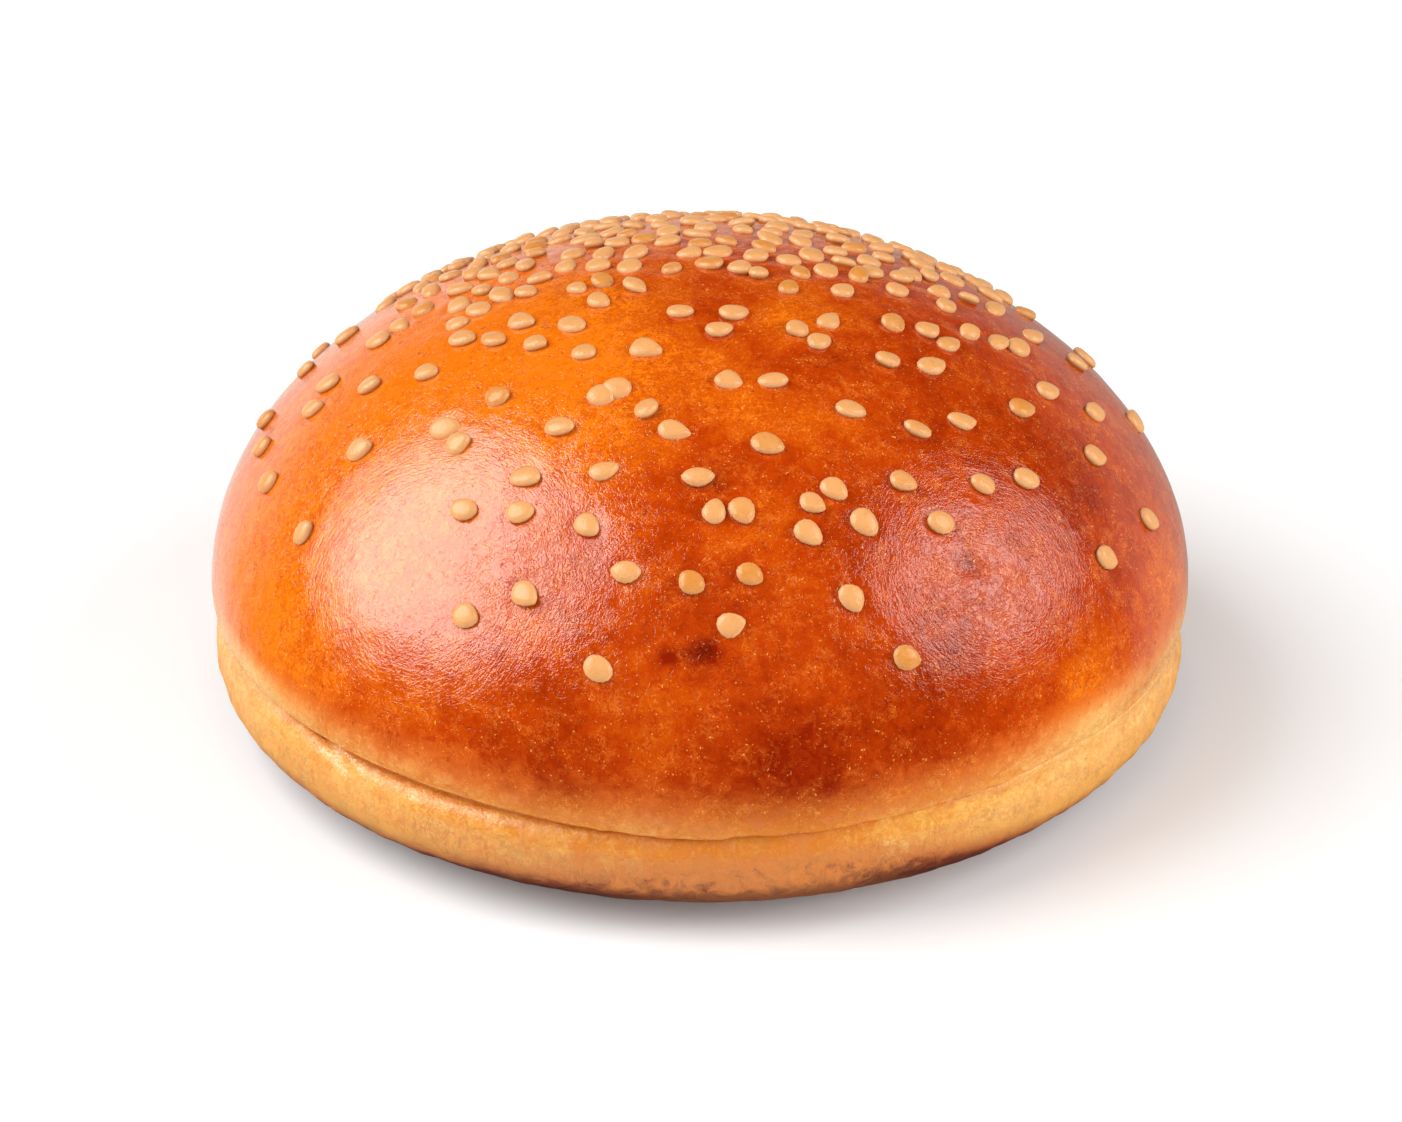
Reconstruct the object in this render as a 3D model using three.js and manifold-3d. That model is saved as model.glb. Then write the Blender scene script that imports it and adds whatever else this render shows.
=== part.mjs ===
// A round sesame-topped bread roll: one baked roll and the sesame seeds on its flank.
// Millimetres, +Z up, origin at the middle of the flat underside, front towards -Y.

import * as THREE from 'three';
import { mergeVertices } from 'three/addons/utils/BufferGeometryUtils.js';
import Module from 'manifold-3d';

// Driving dimensions of the roll.
const WIDEST_RADIUS = 51;
const WIDEST_HEIGHT = 15;
const CRUST_HEIGHT = 48.7;
const SHOULDER_FALL = 1.075; // above 1 the shoulders fall a little inside an ellipse
const CREASE_RADIUS = 49.3;
const CREASE_HEIGHT = 11.9;
const SKIRT_RADIUS = 50.6;
const SKIRT_HEIGHT = 7.3;
const BASE_RADIUS = 36;
const INNER_BASE_RADIUS = 18;

// How far the roll strays from a perfect turned shape.
const CREASE_WAVE = 0.5;
const CREASE_WAVES = 4;
const CREASE_WAVE_REACH = 9;
const CROWN_LEAN = 0.4;
const BACK_FALL = 0.9; // how much lower the back of the crown is than the front
const BACK_FALL_REACH = 18;
const BACK_FALL_RISE = 10; // the fall starts over this height above the widest line

// Sesame seeds.
const SEED_LENGTH = 3.0;
const SEED_WIDTH = 2.45;
const SEED_THICKNESS = 1.1;
const SEED_TAPER = 0.16; // how much narrower the pointed end is
const SEED_SINK = 0.35; // how deep the glaze holds a seed in the crust
const POCKET_GAP = 0.3;

// Fineness of the facets.
const SIDES = 64;
const CROWN_STEPS = 16;
const EDGE_STEPS = 4;
const SKIRT_STEPS = 3;
const SEED_SIDES = 10;
const SEED_RINGS = 5;

const CRUST_COLOUR = 0xc65a14;
const SEED_COLOUR = 0xe3b27a;

// The seeds below the dense cap, from the front round the sides to the back.
// Each is [bearing from the front, rise up the crown, turn of its length from level], in degrees.
const FLANK_SEEDS = [
  [-12, 24, -30], [4, 31, 8], [25, 23, -30], [-30, 28, 0], [-23, 33, -30], [-10, 38, 0],
  [-1, 37, -40], [7, 38, -30], [20, 33, -70], [-37, 42, 10], [-28, 44, 20], [-17, 44, -40],
  [2.5, 47, 80], [7, 47, -70], [16.5, 43, -50], [18.5, 47, -50], [23, 48.5, -60], [25.5, 43, -70],
  [35, 47, -50], [37, 40, -20], [48, 42.5, -50], [56, 40, -40], [60, 24, -50], [74, 22, -60],
  [-61, 28, 70], [-76, 28, 60], [-63, 42, 60], [-76, 48, 50], [-82, 39, 60], [-86, 42, 60],
  [-86, 28, 60], [-94, 28, 60], [69, 47, -40], [73, 35, -50], [84, 37, -40], [79, 45, -40],
  [98, 39, -40], [95, 27, 20], [108, 33, 40], [117, 45, -20], [126, 26, 70], [133, 38, 10],
  [142, 47, -60], [150, 31, 30], [157, 42, -10], [166, 25, 50], [172, 36, 80], [179, 46, -30],
  [-174, 29, 0], [-166, 40, 40], [-158, 47, 20], [-151, 33, -50], [-143, 43, 60], [-136, 27, -20],
  [-128, 38, 30], [-120, 46, -70], [-113, 31, 10], [-104, 42, -40], [-101, 35, 50],
];

const wasm = await Module();
wasm.setup();

function crownOutline(rise) {
  const angle = THREE.MathUtils.degToRad(rise);
  const height = (CRUST_HEIGHT - WIDEST_HEIGHT) * Math.sin(angle) ** SHOULDER_FALL;
  return new THREE.Vector2(WIDEST_RADIUS * Math.cos(angle), WIDEST_HEIGHT + height);
}

// Half outline of the roll, from the middle of the underside up to the top of the crown.
function rollOutline() {
  const points = [new THREE.Vector2(0, 0), new THREE.Vector2(INNER_BASE_RADIUS, 0)];
  const quarter = Math.PI / 2;
  for (let step = 0; step <= EDGE_STEPS + 1; step += 1) {
    const angle = quarter * (step / (EDGE_STEPS + 1));
    const radius = BASE_RADIUS + (SKIRT_RADIUS - BASE_RADIUS) * Math.sin(angle);
    points.push(new THREE.Vector2(radius, SKIRT_HEIGHT * (1 - Math.cos(angle))));
  }
  for (let step = 1; step <= SKIRT_STEPS; step += 1) {
    const angle = quarter * (step / SKIRT_STEPS);
    const radius = CREASE_RADIUS + (SKIRT_RADIUS - CREASE_RADIUS) * Math.cos(angle);
    const height = SKIRT_HEIGHT + (CREASE_HEIGHT - SKIRT_HEIGHT) * Math.sin(angle);
    points.push(new THREE.Vector2(radius, height));
  }
  for (let step = 1; step < EDGE_STEPS; step += 1) {
    const angle = quarter * (step / EDGE_STEPS);
    const radius = CREASE_RADIUS + (WIDEST_RADIUS - CREASE_RADIUS) * Math.sin(angle);
    const height = WIDEST_HEIGHT - (WIDEST_HEIGHT - CREASE_HEIGHT) * Math.cos(angle);
    points.push(new THREE.Vector2(radius, height));
  }
  for (let step = 0; step < CROWN_STEPS; step += 1) {
    points.push(crownOutline(90 * (step / CROWN_STEPS)));
  }
  points.push(new THREE.Vector2(0, CRUST_HEIGHT));
  return points;
}

// Moves a point of the turned shape to where the baked crust really is.
function settle(point) {
  const bearing = Math.atan2(point.x, -point.y);
  const fromCrease = Math.abs(point.z - CREASE_HEIGHT) / CREASE_WAVE_REACH;
  const wave = -CREASE_WAVE * Math.cos(CREASE_WAVES * bearing) * Math.max(0, 1 - fromCrease);
  const lean = CROWN_LEAN * (point.z / CRUST_HEIGHT) ** 2;
  const behind = Math.max(0, point.y) / BACK_FALL_REACH;
  const upTheCrown = THREE.MathUtils.clamp((point.z - WIDEST_HEIGHT) / BACK_FALL_RISE, 0, 1);
  const fall = BACK_FALL * (1 - Math.exp(-(behind ** 2))) * upTheCrown;
  point.x -= lean;
  if (point.z > 0) {
    point.z += wave - fall;
  }
  return point;
}

// Keeps only the positions, shares the vertices and leaves out faces with no area.
function closedGeometry(geometry) {
  geometry.deleteAttribute('normal');
  geometry.deleteAttribute('uv');
  const merged = mergeVertices(geometry, 1e-4);
  const source = merged.index.array;
  const kept = [];
  for (let face = 0; face < source.length; face += 3) {
    const [a, b, c] = source.slice(face, face + 3);
    if (a !== b && b !== c && c !== a) {
      kept.push(a, b, c);
    }
  }
  merged.setIndex(kept);
  return merged;
}

function toSolid(geometry) {
  const vertProperties = new Float32Array(geometry.attributes.position.array);
  const triVerts = new Uint32Array(geometry.index.array);
  return new wasm.Manifold(new wasm.Mesh({ numProp: 3, vertProperties, triVerts }));
}

function toGeometry(solid) {
  const mesh = solid.getMesh();
  const geometry = new THREE.BufferGeometry();
  geometry.setAttribute('position', new THREE.BufferAttribute(mesh.vertProperties, 3));
  geometry.setIndex(new THREE.BufferAttribute(mesh.triVerts, 1));
  return geometry;
}

// A flat drop: length along X, width along Y, thickness along Z, pointed towards +X.
function seedGeometry(growth) {
  const geometry = new THREE.SphereGeometry(1, SEED_SIDES, SEED_RINGS);
  geometry.rotateX(Math.PI / 2);
  const position = geometry.attributes.position;
  for (let i = 0; i < position.count; i += 1) {
    const along = position.getX(i);
    const narrowing = 1 - SEED_TAPER * along;
    position.setX(i, along * (SEED_LENGTH / 2 + growth));
    position.setY(i, position.getY(i) * narrowing * (SEED_WIDTH / 2 + growth));
    position.setZ(i, position.getZ(i) * (SEED_THICKNESS / 2 + growth));
  }
  return closedGeometry(geometry);
}

// Where a seed lies: on the crust, flat against it, with its length turned from level.
function seedPlace(bearing, rise, turn) {
  const around = THREE.MathUtils.degToRad(bearing);
  const outline = crownOutline(rise);
  const slopeStep = crownOutline(rise + 0.1).sub(crownOutline(rise - 0.1)).normalize();
  const away = new THREE.Vector3(Math.sin(around), -Math.cos(around), 0);
  const level = new THREE.Vector3(Math.cos(around), Math.sin(around), 0);
  const uphill = away.clone().multiplyScalar(slopeStep.x).setZ(slopeStep.y);
  const outward = level.clone().cross(uphill);
  const foot = settle(away.clone().multiplyScalar(outline.x).setZ(outline.y));
  foot.addScaledVector(outward, SEED_THICKNESS / 2 - SEED_SINK);
  const place = new THREE.Matrix4().makeBasis(level, uphill, outward).setPosition(foot);
  return place.multiply(new THREE.Matrix4().makeRotationZ(THREE.MathUtils.degToRad(turn)));
}

function makeSeed(place, number) {
  const material = new THREE.MeshStandardMaterial({ color: SEED_COLOUR, roughness: 0.4, metalness: 0 });
  const seed = new THREE.Mesh(seedGeometry(0), material);
  seed.name = `sesame_seed_${String(number).padStart(2, '0')}`;
  place.decompose(seed.position, seed.quaternion, seed.scale);
  return seed;
}

// The whole baked roll, with a shallow pocket under each seed.
function makeRoll(places) {
  const turned = new THREE.LatheGeometry(rollOutline(), SIDES);
  turned.rotateX(Math.PI / 2);
  const position = turned.attributes.position;
  const point = new THREE.Vector3();
  for (let i = 0; i < position.count; i += 1) {
    settle(point.fromBufferAttribute(position, i));
    position.setXYZ(i, point.x, point.y, point.z);
  }
  let body = toSolid(closedGeometry(turned));
  for (const place of places) {
    body = body.subtract(toSolid(seedGeometry(POCKET_GAP).applyMatrix4(place)));
  }
  const material = new THREE.MeshStandardMaterial({ color: CRUST_COLOUR, roughness: 0.3, metalness: 0 });
  const roll = new THREE.Mesh(toGeometry(body), material);
  roll.name = 'baked_roll';
  return roll;
}

const breadRoll = new THREE.Group();
const seedPlaces = FLANK_SEEDS.map(([bearing, rise, turn]) => seedPlace(bearing, rise, turn));
breadRoll.add(makeRoll(seedPlaces));
seedPlaces.forEach((place, index) => breadRoll.add(makeSeed(place, index + 1)));

export default breadRoll;
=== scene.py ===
import math
import random

import bmesh
import bpy
import numpy as np
from bpy.props import FloatProperty, FloatVectorProperty, IntProperty, PointerProperty
from mathutils import Matrix, Vector, kdtree, noise
from mathutils.bvhtree import BVHTree


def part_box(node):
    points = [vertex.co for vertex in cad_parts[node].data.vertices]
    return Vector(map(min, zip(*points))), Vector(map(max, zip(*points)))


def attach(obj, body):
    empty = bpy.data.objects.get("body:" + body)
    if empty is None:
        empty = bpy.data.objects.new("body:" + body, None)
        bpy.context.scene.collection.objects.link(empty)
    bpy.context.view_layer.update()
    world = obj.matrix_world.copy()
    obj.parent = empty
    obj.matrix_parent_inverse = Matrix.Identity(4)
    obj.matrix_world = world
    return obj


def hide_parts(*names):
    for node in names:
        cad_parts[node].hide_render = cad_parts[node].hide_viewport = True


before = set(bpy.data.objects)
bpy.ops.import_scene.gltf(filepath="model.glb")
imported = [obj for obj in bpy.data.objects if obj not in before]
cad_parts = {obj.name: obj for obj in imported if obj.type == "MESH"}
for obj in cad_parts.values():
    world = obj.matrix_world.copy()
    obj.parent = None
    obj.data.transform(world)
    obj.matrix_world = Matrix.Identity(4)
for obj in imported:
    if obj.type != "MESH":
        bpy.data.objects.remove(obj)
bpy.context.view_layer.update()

bl_info = {
    "name": "Sesame bread roll",
    "version": (1, 0, 0),
    "blender": (4, 5, 0),
    "location": "3D View > Sidebar > Bread roll",
    "description": "A glazed bread roll with sesame seeds, a pale skirt and a browned underside",
    "category": "Mesh",
}

MM = 0.001
ROLL_LOW, ROLL_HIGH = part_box("baked_roll")

# Points on each part of the roll's half outline: underside, skirt, crease, lip and crown.
BASE_STEPS = 24
SKIRT_STEPS = 28
CREASE_STEPS = 12
LIP_STEPS = 9
CROWN_STEPS = 104

# The crust's colours start this far below the crease and run over this length, in mm.
RAMP_LOW = -24
RAMP_LENGTH = 64

# Steps round a seed and from its top to its bottom.
SEED_SEGMENTS = 14
SEED_RINGS = 6

# Where more seeds are strewn, in degrees: round the back beyond one bearing, and high on the
# shoulders beyond another, always between the lowest and the highest rise.
BACK_BEARING = 112
SHOULDER_BEARING = 88
SHOULDER_RISE = 60
LOWEST_RISE = 42
HIGHEST_RISE = 89
STREWING_TRIES = 20000

# The seeds below the dense cap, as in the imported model: bearing from the front,
# rise up the crown, and turn of the seed's length from level, in degrees.
FLANK_SEEDS = (
    (-12, 24, -30), (4, 31, 8), (25, 23, -30), (-30, 28, 0), (-23, 33, -30), (-10, 38, 0),
    (-1, 37, -40), (7, 38, -30), (20, 33, -70), (-37, 42, 10), (-28, 44, 20), (-17, 44, -40),
    (2.5, 47, 80), (7, 47, -70), (16.5, 43, -50), (18.5, 47, -50), (23, 48.5, -60), (25.5, 43, -70),
    (35, 47, -50), (37, 40, -20), (48, 42.5, -50), (56, 40, -40), (60, 24, -50), (74, 22, -60),
    (-61, 28, 70), (-76, 28, 60), (-63, 42, 60), (-76, 48, 50), (-82, 39, 60), (-86, 42, 60),
    (-86, 28, 60), (-94, 28, 60), (69, 47, -40), (73, 35, -50), (84, 37, -40), (79, 45, -40),
    (98, 39, -40), (95, 27, 20), (108, 33, 40), (117, 45, -20), (126, 26, 70), (133, 38, 10),
    (142, 47, -60), (150, 31, 30), (157, 42, -10), (166, 25, 50), (172, 36, 80), (179, 46, -30),
    (-174, 29, 0), (-166, 40, 40), (-158, 47, 20), (-151, 33, -50), (-143, 43, 60), (-136, 27, -20),
    (-128, 38, 30), (-120, 46, -70), (-113, 31, 10), (-104, 42, -40), (-101, 35, 50),
)

# The seeds on the front and shoulders of the crown, placed one by one in the same way.
CROWN_SEEDS = (
    (-30, 49, 10), (-17, 52, 30), (0, 52, 0), (-51, 51, 40), (-46, 50, 40), (-29, 57, 10),
    (-47, 58, 20), (-5, 59, -10), (-12, 62, -10), (-21, 64.5, 10), (-24, 63, 20), (14, 56.5, -30),
    (35, 59, -40), (45, 53, -50), (55, 51, -40), (9, 67, -10), (21, 66, -20), (-68, 55, 50),
    (55, 63, -30), (63, 59, -30), (72, 66, -20), (76, 62, -40), (75, 59, -30),
    (-19, 72, 0), (-38, 69, 10), (-54, 67, 20), (-66, 64, 20), (-73, 61, 40), (-68, 68, 20),
    (-53, 72, 10), (10, 76, 0), (-11, 80, 0), (22, 79, 0), (42, 73, -10), (57, 72, 0), (44, 70, 0),
    (86, 53, -30), (97, 47, -40), (-60, 77, 0), (-62, 82, 10), (-81, 79, 20), (-80, 76, 10),
    (-103, 82, 0), (-127, 81, 0), (-100, 87, -10), (-170, 85, 0), (-160, 80, 10), (-151, 77, 0),
    (-138, 76, 10), (-134, 73, 0), (-120, 73, 10), (-106, 74, 20), (-111, 68, 20), (-102, 67, 20),
    (-122, 67, 10), (-87, 70, 20), (-89, 67, 30), (-97, 64, 20), (-85, 64, 30), (-82, 61, 40),
    (-97, 56, 30), (-93, 53, 40), (-91, 50, 50), (-123, 61, 10), (-121, 58, 0), (-117, 55, 20),
    (-108, 55, 20), (-105, 52, 30), (100, 85, 0), (86, 83, 0), (72, 79, 0), (123, 82, 0),
    (160, 80, -10), (143, 76, 0), (135, 79, 10), (117, 75, -10), (95, 78, 0), (121, 71, 0),
    (98, 71, -10), (104, 69, -20), (83, 73, -20), (113, 68, 0), (104, 65, -20), (108, 63, -10),
    (110, 60, -20), (93, 60, -30), (102, 56, -30), (102, 52, -40), (84, 57, -30), (88, 50, -30),
)

# Browned (+) and golden (-) patches of the glaze: bearing, rise, reach in mm, strength.
PATCHES = (
    (8, 10, 7, 0.6), (26, 16, 8, 0.5), (30, 23, 4, 0.4), (-18, 9, 6, 0.5), (0, 35, 4, 0.4),
    (0, 50, 3.5, 0.45), (20, 42, 4, 0.4), (28, 42, 5, 0.3), (62, 33, 9, 0.6), (60, 42, 6, 0.1),
    (48, 50, 6, 0.3), (40, 66, 4, 0.4), (66, 60, 7, 0.2), (10, 82, 4, 0.3),
    (0.9, 27.3, 0.9, 3.4), (-0.6, 27.0, 0.8, 1.3), (-1.8, 26.7, 0.7, 0.5), (-3.3, 26.4, 0.9, 0.9),
    (-4.6, 26.2, 0.8, 0.6), (12, 3, 7, 0.5), (38, 34, 1.1, 0.8), (-42, 33, 12, -0.5),
    (-5, 18, 5, -0.3), (0, 70, 4, -0.4), (13, 62, 3.5, -0.6), (10, 44, 4, -0.3), (30, 58, 4, -0.3),
    (42, 75, 4, -0.5), (60, 76, 4, -0.4), (-78, 58, 19, -1.7), (-42, 68, 7, -0.7),
    (-25, 60, 8, -0.6), (-50, 10, 8, -0.35), (-70, 15, 14, -0.9), (-62, 2, 8, -0.9),
    (50, 0, 6.5, -1.1), (74, 3, 8, -0.8), (150, 25, 14, 0.5), (-140, 30, 15, 0.4),
    (-175, 60, 12, -0.3), (110, 50, 12, 0.3),
)

# Browned (+) and pale (-) stretches of the skirt: bearing, half width in degrees, strength.
SKIRT_TONES = (
    (6, 22, 1.25), (-30, 12, 0.2), (-52, 6, 0.4), (50, 26, -0.75), (-66, 26, -0.5), (140, 30, 0.5),
)

# More or less depth of the crease and of the skirt's wrinkles: bearing, half width in degrees,
# amount in mm. The crease is deep on the left and closes on the right.
CREASE_DEPTHS = ((-48, 24, 0.32), (52, 34, -1.0), (-92, 18, 0.3), (150, 40, 0.3))
SKIRT_WRINKLES = ((58, 24, 0.11), (-45, 22, 0.08))

# Stretches of the skirt's lower edge: bearing, half width in degrees,
# and how much higher up the skirt the browning and painted shade reach, in mm.
EDGE_TONES = ((12, 17, 2.5), (-38, 20, -1.7), (60, 14, -0.5))

# Fine arcs in the brushed glaze: bearing and rise of their middle, radius of their ring in mm.
SWIRLS = ((-38, 33, 13), (41, 33, 10.5))

# Dents of the crown: bearing, rise, length and reach in mm, depth in mm.
DENTS = (
    (-1.5, 26.8, 3.6, 0.6, 0.18), (38, 33, 1.5, 1.0, 0.40), (44, 28, 3.0, 0.8, 0.16),
    (33, 27, 2.5, 0.7, 0.12), (-17, 43, 1.0, 1.8, 0.10), (-22, 31, 3.0, 1.2, 0.10),
    (165, 34, 5.0, 0.9, 0.25),
)

# Where the glaze is more crinkled than elsewhere: bearing, rise, length and reach in mm.
RUGGED = ((40, 30, 4, 9), (-22, 36, 3, 7))

# Soft lights: name, the setting with its power, bearing, height and half angle in degrees,
# and whether the glaze mirrors it.
SOFT_LIGHTS = (
    ("left_softbox", "left_strength", -86, 42.5, 29, True),
    ("right_softbox", "right_strength", 84, 35, 19.5, True),
    ("front_fill", "fill_strength", 5, 38, 35, False),
    ("low_fill", "low_strength", 75, 15, 12, False),
)
WARM_LIGHT = (1, 0.975, 0.91)

# The height that the lights are aimed at, and the height that the camera turns round.
LIT_HEIGHT = 25 * MM
PIVOT_HEIGHT = 28 * MM
SENSOR_WIDTH = 36
FLOOR_RADIUS = 4

# Colours of the floor's faint clouds, and the dim glow that only the glaze mirrors.
FLOOR_TONES = ((0.850, 0.873, 0.936), (0.870, 0.893, 0.957))
WARM_GLOW = (1, 0.92, 0.82)
WHITE = (1, 1, 1)

# A seed's section from its top to its bottom, ring by ring of the sphere it is made from:
# how far out it is, how high, and how much of the pale rim, which is partly painted highlight, is
# on it.
SEED_SECTION = (
    (0, 1.0, 0), (0.58, 0.95, 0), (0.86, 0.70, 0.5), (1.0, 0.15, 1),
    (0.9, -0.5, 0), (0.6, -0.9, 0), (0, -1, 0),
)


class RollSizes(bpy.types.PropertyGroup):
    """Sizes of the baked roll."""

    widest_radius: FloatProperty(
        name="Widest radius", description="Radius of the crown where it is widest",
        default=(ROLL_HIGH[1] - ROLL_LOW[1]) / 2, unit="LENGTH",
    )
    crust_height: FloatProperty(
        name="Crust height", description="Height of the crown's top above the underside",
        default=ROLL_HIGH[2], unit="LENGTH",
    )
    widest_height: FloatProperty(
        name="Widest height", description="Height of the widest line above the underside",
        default=15 * MM, unit="LENGTH",
    )
    shoulder_fall: FloatProperty(
        name="Shoulder fall", description="Above 1 the shoulders fall inside an ellipse",
        default=1.075,
    )
    crease_radius: FloatProperty(
        name="Crease radius", description="Radius at the bottom of the crease",
        default=49.3 * MM, unit="LENGTH",
    )
    crease_height: FloatProperty(
        name="Crease height", description="Height of the crease above the underside",
        default=11.9 * MM, unit="LENGTH",
    )
    skirt_radius: FloatProperty(
        name="Skirt radius", description="Radius of the skirt where it bulges most",
        default=50.6 * MM, unit="LENGTH",
    )
    skirt_height: FloatProperty(
        name="Skirt height", description="Height at which the skirt bulges most",
        default=7.3 * MM, unit="LENGTH",
    )
    base_radius: FloatProperty(
        name="Base radius", description="Radius of the flat underside",
        default=36 * MM, unit="LENGTH",
    )
    crease_wave: FloatProperty(
        name="Crease wave", description="How far the crease wanders up and down",
        default=0.5 * MM, unit="LENGTH",
    )
    crown_lean: FloatProperty(
        name="Crown lean", description="How far the top of the crown leans to the left",
        default=0.4 * MM, unit="LENGTH",
    )
    back_fall: FloatProperty(
        name="Back fall", description="How much lower the back of the crown is than the front",
        default=0.9 * MM, unit="LENGTH",
    )
    sides: IntProperty(name="Sides", description="Faces round the roll", default=480, min=24)


class SeedSizes(bpy.types.PropertyGroup):
    """Sizes and number of the sesame seeds."""

    length: FloatProperty(
        name="Length", description="Length of an average seed", default=3.05 * MM, unit="LENGTH",
    )
    width: FloatProperty(
        name="Width", description="Width of an average seed", default=2.5 * MM, unit="LENGTH",
    )
    thickness: FloatProperty(
        name="Thickness", description="Thickness of an average seed",
        default=1.2 * MM, unit="LENGTH",
    )
    taper: FloatProperty(
        name="Taper", description="How much narrower the pointed end is", default=0.16,
    )
    sink: FloatProperty(
        name="Sink", description="How deep a seed sits in the glaze",
        default=0.38 * MM, unit="LENGTH",
    )
    spacing: FloatProperty(
        name="Spacing", description="Least distance between two scattered seeds",
        default=2.95 * MM, unit="LENGTH",
    )
    scattered: IntProperty(
        name="Scattered seeds", description="Seeds strewn over the back of the crown", default=130,
    )


class RollColours(bpy.types.PropertyGroup):
    """Colours of the crust and seeds."""

    crown: FloatVectorProperty(
        name="Crown", description="Egg-glazed crown",
        default=(0.50, 0.046, 0.0006), subtype="COLOR",
    )
    browned: FloatVectorProperty(
        name="Browned", description="Darkest patches of the glaze", default=(0.26, 0.012, 0.0003),
        subtype="COLOR",
    )
    golden: FloatVectorProperty(
        name="Golden", description="Lightest patches of the glaze", default=(0.87, 0.19, 0.004),
        subtype="COLOR",
    )
    lip: FloatVectorProperty(
        name="Lip", description="Pale edge of the crown at the crease", default=(0.92, 0.41, 0.10),
        subtype="COLOR",
    )
    skirt: FloatVectorProperty(
        name="Skirt", description="Soft pale skirt", default=(0.92, 0.42, 0.07), subtype="COLOR",
    )
    toasted_skirt: FloatVectorProperty(
        name="Toasted skirt", description="Browner stretches of the skirt",
        default=(0.74, 0.22, 0.024), subtype="COLOR",
    )
    # The lower edge's dark colour is partly baked browning and partly painted shade.
    edge: FloatVectorProperty(
        name="Edge", description="Lower edge of the skirt, baked darkest",
        default=(0.46, 0.055, 0.003), subtype="COLOR",
    )
    pale_skirt: FloatVectorProperty(
        name="Pale skirt", description="Palest stretches of the skirt", default=(0.98, 0.58, 0.19),
        subtype="COLOR",
    )
    base: FloatVectorProperty(
        name="Base", description="Browned underside", default=(0.34, 0.095, 0.020), subtype="COLOR",
    )
    # Partly the glaze's own pale flecks and partly painted glints.
    fleck_and_glint: FloatVectorProperty(
        name="Fleck", description="Small pale flecks of the glaze", default=(0.86, 0.22, 0.025),
        subtype="COLOR",
    )
    # Painted glints: the finest bright dots of the crust.
    glint_dots: FloatVectorProperty(
        name="Fleck dots", description="Finest bright dots of the crust",
        default=(0.98, 0.48, 0.11), subtype="COLOR",
    )
    seed: FloatVectorProperty(
        name="Seed", description="Hulled sesame seed", default=(0.75, 0.36, 0.135), subtype="COLOR",
    )
    # Partly the hull's own pale edge and partly a painted highlight.
    seed_rim_and_highlight: FloatVectorProperty(
        name="Seed rim", description="Pale rim of a seed",
        default=(0.95, 0.68, 0.42), subtype="COLOR",
    )
    toasted: FloatVectorProperty(
        name="Toasted seed", description="Toasted sesame seed", default=(0.66, 0.25, 0.045),
        subtype="COLOR",
    )


class StudioSettings(bpy.types.PropertyGroup):
    """Camera and lights."""

    distance: FloatProperty(
        name="Distance", description="From the camera to the middle of the roll",
        default=0.5, unit="LENGTH",
    )
    elevation: FloatProperty(
        name="Elevation", description="How far the camera looks down",
        default=math.radians(27), subtype="ANGLE",
    )
    lens: FloatProperty(name="Lens", description="Focal length in millimetres", default=123.6)
    aim_height: FloatProperty(
        name="Aim height", description="Height the camera is aimed at",
        default=15 * MM, unit="LENGTH",
    )
    left_strength: FloatProperty(
        name="Left softbox", description="Power of the large softbox on the left", default=14.2,
    )
    right_strength: FloatProperty(
        name="Right softbox", description="Power of the smaller softbox on the right", default=4.1,
    )
    low_strength: FloatProperty(
        name="Low fill", description="Power of the low soft light on the right", default=4.4,
    )
    fill_strength: FloatProperty(
        name="Front fill", description="Power of the soft fill light over the camera", default=5,
    )


# ---- shape of the roll


def crown_outline(sizes, rise):
    """Radius and height on the crown at a rise in radians above its widest line."""
    dome = sizes.crust_height - sizes.widest_height
    height = sizes.widest_height + dome * max(0.0, math.sin(rise)) ** sizes.shoulder_fall
    return sizes.widest_radius * math.cos(rise), height


def roll_outline(sizes):
    """Half outline from the middle of the underside up to the top, as (radius, height)."""
    quarter = math.pi / 2
    bulge = sizes.skirt_radius - sizes.base_radius
    groove = sizes.skirt_radius - sizes.crease_radius
    groove_height = sizes.crease_height - sizes.skirt_height
    lip = sizes.widest_radius - sizes.crease_radius
    lip_height = sizes.widest_height - sizes.crease_height
    points = [(sizes.base_radius * step / BASE_STEPS, 0.0) for step in range(BASE_STEPS)]
    for step in range(SKIRT_STEPS):
        angle = quarter * step / SKIRT_STEPS
        radius = sizes.base_radius + bulge * math.sin(angle)
        points.append((radius, sizes.skirt_height * (1 - math.cos(angle))))
    for step in range(CREASE_STEPS):
        angle = quarter * step / CREASE_STEPS
        radius = sizes.crease_radius + groove * math.cos(angle)
        points.append((radius, sizes.skirt_height + groove_height * math.sin(angle)))
    for step in range(LIP_STEPS):
        angle = quarter * step / LIP_STEPS
        radius = sizes.crease_radius + lip * math.sin(angle)
        points.append((radius, sizes.widest_height - lip_height * math.cos(angle)))
    points += [crown_outline(sizes, quarter * step / CROWN_STEPS) for step in range(CROWN_STEPS)]
    points.append((0.0, sizes.crust_height))
    return points


def settle(sizes, place):
    """Moves a point of the turned shape by the crease's wave, the lean and the fall."""
    x, y, z = place
    bearing = np.arctan2(x, -y)
    near_crease = np.clip(1 - np.abs(z - sizes.crease_height) / (9 * MM), 0, 1)
    wave = -sizes.crease_wave * np.cos(4 * bearing) * near_crease * (z > 1e-6)
    up_the_crown = np.clip((z - sizes.widest_height) / (10 * MM), 0, 1)
    fall = sizes.back_fall * (1 - near(np.maximum(y, 0), 18 * MM)) * up_the_crown
    return x - sizes.crown_lean * (z / sizes.crust_height) ** 2, y, z + wave - fall


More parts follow.
